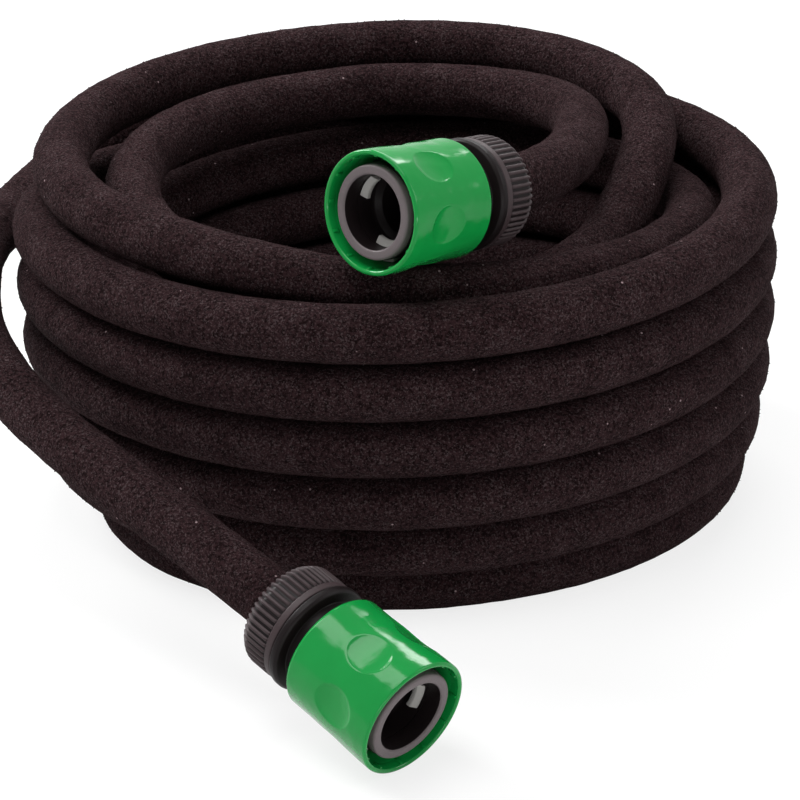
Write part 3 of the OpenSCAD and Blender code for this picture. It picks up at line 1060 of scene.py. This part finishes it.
class SOAKER_OT_sleeves(bpy.types.Operator):
    """Adds the two green sliding sleeves, with their thumb scoops"""
    bl_idname = "soaker.sleeves"
    bl_label = "Sleeves"

    def execute(self, context):
        size = settings().connector
        front_r = size.sleeve_diameter / 2 / MM
        outline = sleeve_outline(front_r, size.sleeve_length / MM)
        step = 2 * math.pi / size.scoops

        def scoop(r, depth, angle):
            """How far the outside goes in at a point of it."""
            if r < front_r - SLEEVE_TAPER - OUTSIDE_WITHIN:
                return 0.0
            around = (angle - SCOOP_TURN) % step
            across = r * min(around, step - around) / SCOOP_HALF_WIDTH
            along = (depth - SCOOP_AT) / SCOOP_HALF_LENGTH
            return SCOOP_DEEP * max(0.0, 1 - across ** 2 - along ** 2) ** SCOOP_POWER

        for name in CONNECTORS:
            green, body = "gloss_green_plastic", f"{name}_sleeve"
            shell = finished(lathe(f"{name}_sleeve_shell", outline, SLEEVE_SIDES, scoop))
            teeth = copied_round(snap_tooth(), green, SNAP_TEETH, f"{name}_sleeve_teeth")
            add_part(name, "sleeve_shell", shell, green, body, f"{name}_sleeve")
            add_part(name, "sleeve_teeth", finished(teeth), green, body)
        return {"FINISHED"}


class SOAKER_OT_bodies(bpy.types.Operator):
    """Adds the two black connector bodies, with the claws and the grip rings"""
    bl_idname = "soaker.bodies"
    bl_label = "Bodies and Claws"

    def execute(self, context):
        for name in CONNECTORS:
            add_part(
                name, "body_shell", body_mesh(name), "black_plastic", "root",
                f"{name}_body",
            )
            for part, bevel in BROKEN_EDGES.items():
                node = f"{name}_{part}"
                shape = cad_copy(node, f"{node}_piece", bevel * MM)
                piece = add_object(f"{node}_piece", shape, material("claw_plastic"))
                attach(piece, node)
                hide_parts(node)
        return {"FINISHED"}


class SOAKER_OT_face_rings(bpy.types.Operator):
    """Adds the grey rings round the two mouths"""
    bl_idname = "soaker.face_rings"
    bl_label = "Face Rings"

    def execute(self, context):
        for name in CONNECTORS:
            outline = rounded(MOUTH_RING_PROFILE, step=15.0)
            mesh = lathe(f"{name}_mouth_ring", outline, BODY_SIDES)
            # The wall of the bore behind the ring's rounded lip
            bore = faces_where(mesh, lambda r, depth: r < BORE_R + 0.6 and depth > 1.3)
            add_part(
                name, "mouth_ring", finished(mesh), "ring_plastic", "root",
                f"{name}_face_ring", black_and_shade_faces=bore,
            )
        return {"FINISHED"}


class SOAKER_OT_nuts(bpy.types.Operator):
    """Adds the two ribbed nuts that clamp the hose"""
    bl_idname = "soaker.nuts"
    bl_label = "Nuts"

    def execute(self, context):
        size = settings().connector
        outer = size.nut_diameter / 2 / MM
        core = outer - RIB_HIGH
        outline = rounded([
            (11.58, 39.1, 0.2), (outer - 0.1, 39.1, 0.45), (outer - 0.1, 41.1, 0.3),
            (core, RIBS_FROM, 0.0), (core, 48.6, 2.2), (outer - 2.3, 51.0, 1.2),
            (8.6, 51.0, 0.4), (8.6, 49.2, 0.0), (10.9, 49.2, 0.0), (10.9, 46.3, 0.0),
            (11.58, 46.3, 0.0),
        ], step=12.0)
        # The ribs run along the barrel and round its back edge, down to this radius
        barrel, least_r = RIBS_FROM - 0.1, 12.9
        ridge = [(core, depth) for depth in (RIBS_FROM, 42.2, 44.0, 46.0)]
        ridge += [(p.x, p.y) for p in outline if p.x > least_r and p.y > barrel][1:]
        half_width = 2 * math.pi * outer / size.nut_ribs * RIB_HALF_SHARE
        for name in CONNECTORS:
            grey, body = "nut_plastic", f"{name}_nut"
            shell = lathe(f"{name}_nut_core", outline, NUT_SIDES)
            # The faces between the ribs, in black plastic as painted shade in the grooves
            painted_shade_grooves = faces_where(shell, lambda r, depth: r > core - 2.6 and depth > barrel)
            ribs = copied_round(
                nut_rib(half_width, ridge), grey, size.nut_ribs, f"{name}_nut_ribs"
            )
            add_part(
                name, "nut_core", finished(shell), grey, body, f"{name}_nut",
                black_and_shade_faces=painted_shade_grooves,
            )
            add_part(name, "nut_ribs", finished(ribs, sharp=60.0), grey, body)
        return {"FINISHED"}


class SOAKER_OT_springs(bpy.types.Operator):
    """Adds the return springs inside the two sleeves"""
    bl_idname = "soaker.springs"
    bl_label = "Springs"

    def execute(self, context):
        steps = SPRING_TURNS * WIRE_STEPS
        line = [
            (SPRING_R * math.cos(2 * math.pi * SPRING_TURNS * i / steps),
             SPRING_R * math.sin(2 * math.pi * SPRING_TURNS * i / steps),
             -SPRING_FROM - (SPRING_TO - SPRING_FROM) * i / steps)
            for i in range(steps + 1)
        ]
        rings = swept(line, WIRE_R, WIRE_SIDES)
        for name in CONNECTORS:
            wire = finished(capped_tube(f"{name}_spring_wire", rings))
            piece = add_part(
                name, "spring_wire", wire, "drawn_steel", "root",
                f"{name}_sleeve_spring",
            )
            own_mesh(piece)
        return {"FINISHED"}


FLOOR_HALF = 8.0
LAMPS = (
    # (name, place from the coil's middle, width and height, share of the key light's power)
    ("key", (-0.3, -0.3, 1.5), (1.0, 0.75), 1.1),
    ("left", (-0.95, 0.6, 0.9), (0.6, 0.5), 1.5),
    ("right", (1.15, -0.2, 0.7), (0.6, 0.6), 0.3),
    ("back", (0.2, 1.0, 1.1), (1.0, 0.4), 1.2),
    ("low", (0.4, -1.5, 0.1), (1.4, 0.2), 0.4),
)


class SOAKER_OT_stage(bpy.types.Operator):
    """Adds the pale floor, the even sky and the soft lights"""
    bl_idname = "soaker.stage"
    bl_label = "Stage"

    def execute(self, context):
        look = settings().stage
        corners = [(x * FLOOR_HALF, y * FLOOR_HALF, 0)
                   for x, y in ((-1, -1), (1, -1), (1, 1), (-1, 1))]
        paint = bpy.data.materials.new("floor")
        paint.use_nodes = True
        paint.node_tree.nodes.clear()
        floor = Shading(paint.node_tree)
        plain = floor.node("ShaderNodeBsdfDiffuse", {}, {"Color": (*look.floor, 1.0)})["BSDF"]
        white = floor.node("ShaderNodeEmission", {})["Emission"]
        floor.mixed(floor.in_sight() * look.floor_white, plain, white, "Material")
        add_object("floor", mesh_of("floor", corners, [(0, 1, 2, 3)]), paint)

        world = bpy.data.worlds.new("sky")
        world.use_nodes = True
        world.node_tree.nodes.clear()
        context.scene.world = world
        sky = Shading(world.node_tree)
        even, white = (
            sky.node("ShaderNodeBackground", {}, {"Strength": strength})["Background"]
            for strength in (look.world, 1.0)
        )
        sky.mixed(sky.in_sight(), even, white, "World")

        for label, place, wide, power in LAMPS:
            light = bpy.data.lights.new(label, "AREA")
            light.shape, light.size, light.size_y = "RECTANGLE", *wide
            light.energy = look.key * power
            lamp = bpy.data.objects.new(label, light)
            context.scene.collection.objects.link(lamp)
            lamp.location = COIL_AT * MM + Vector(place)
            lamp.rotation_mode = "QUATERNION"
            lamp.rotation_quaternion = (-Vector(place)).to_track_quat("-Z", "Y")
        context.scene.view_settings.view_transform = "Standard"
        return {"FINISHED"}


OPERATORS = (
    SOAKER_OT_camera, SOAKER_OT_hose, SOAKER_OT_sleeves, SOAKER_OT_bodies,
    SOAKER_OT_face_rings, SOAKER_OT_nuts, SOAKER_OT_springs, SOAKER_OT_stage,
)


class SOAKER_PT_panel(bpy.types.Panel):
    """Lists the settings and the operators"""
    bl_idname = "SOAKER_PT_panel"
    bl_label = "Soaker Hose"
    bl_space_type = "VIEW_3D"
    bl_region_type = "UI"
    bl_category = "Soaker Hose"

    def draw(self, context):
        groups = context.scene.soaker_hose_settings
        for title in ("hose", "connector", "stage"):
            group = getattr(groups, title)
            box = self.layout.box()
            box.label(text=title.title())
            for name in group.bl_rna.properties.keys():
                if name not in ("rna_type", "name"):
                    box.prop(group, name)
        for operator in OPERATORS:
            self.layout.operator(operator.bl_idname)


CLASSES = (HoseSettings, ConnectorSettings, StageSettings, AllSettings, *OPERATORS,
           SOAKER_PT_panel)


def register():
    """Registers the classes and gives each scene its settings."""
    for cls in CLASSES:
        bpy.utils.register_class(cls)
    bpy.types.Scene.soaker_hose_settings = PointerProperty(type=AllSettings)


def unregister():
    """Takes the settings and the classes away again."""
    del bpy.types.Scene.soaker_hose_settings
    for cls in reversed(CLASSES):
        bpy.utils.unregister_class(cls)


def main():
    """Builds everything."""
    register()
    for operator in OPERATORS:
        group, name = operator.bl_idname.split(".")
        getattr(getattr(bpy.ops, group), name)()
    declare_hose()


if __name__ == "__main__":
    main()
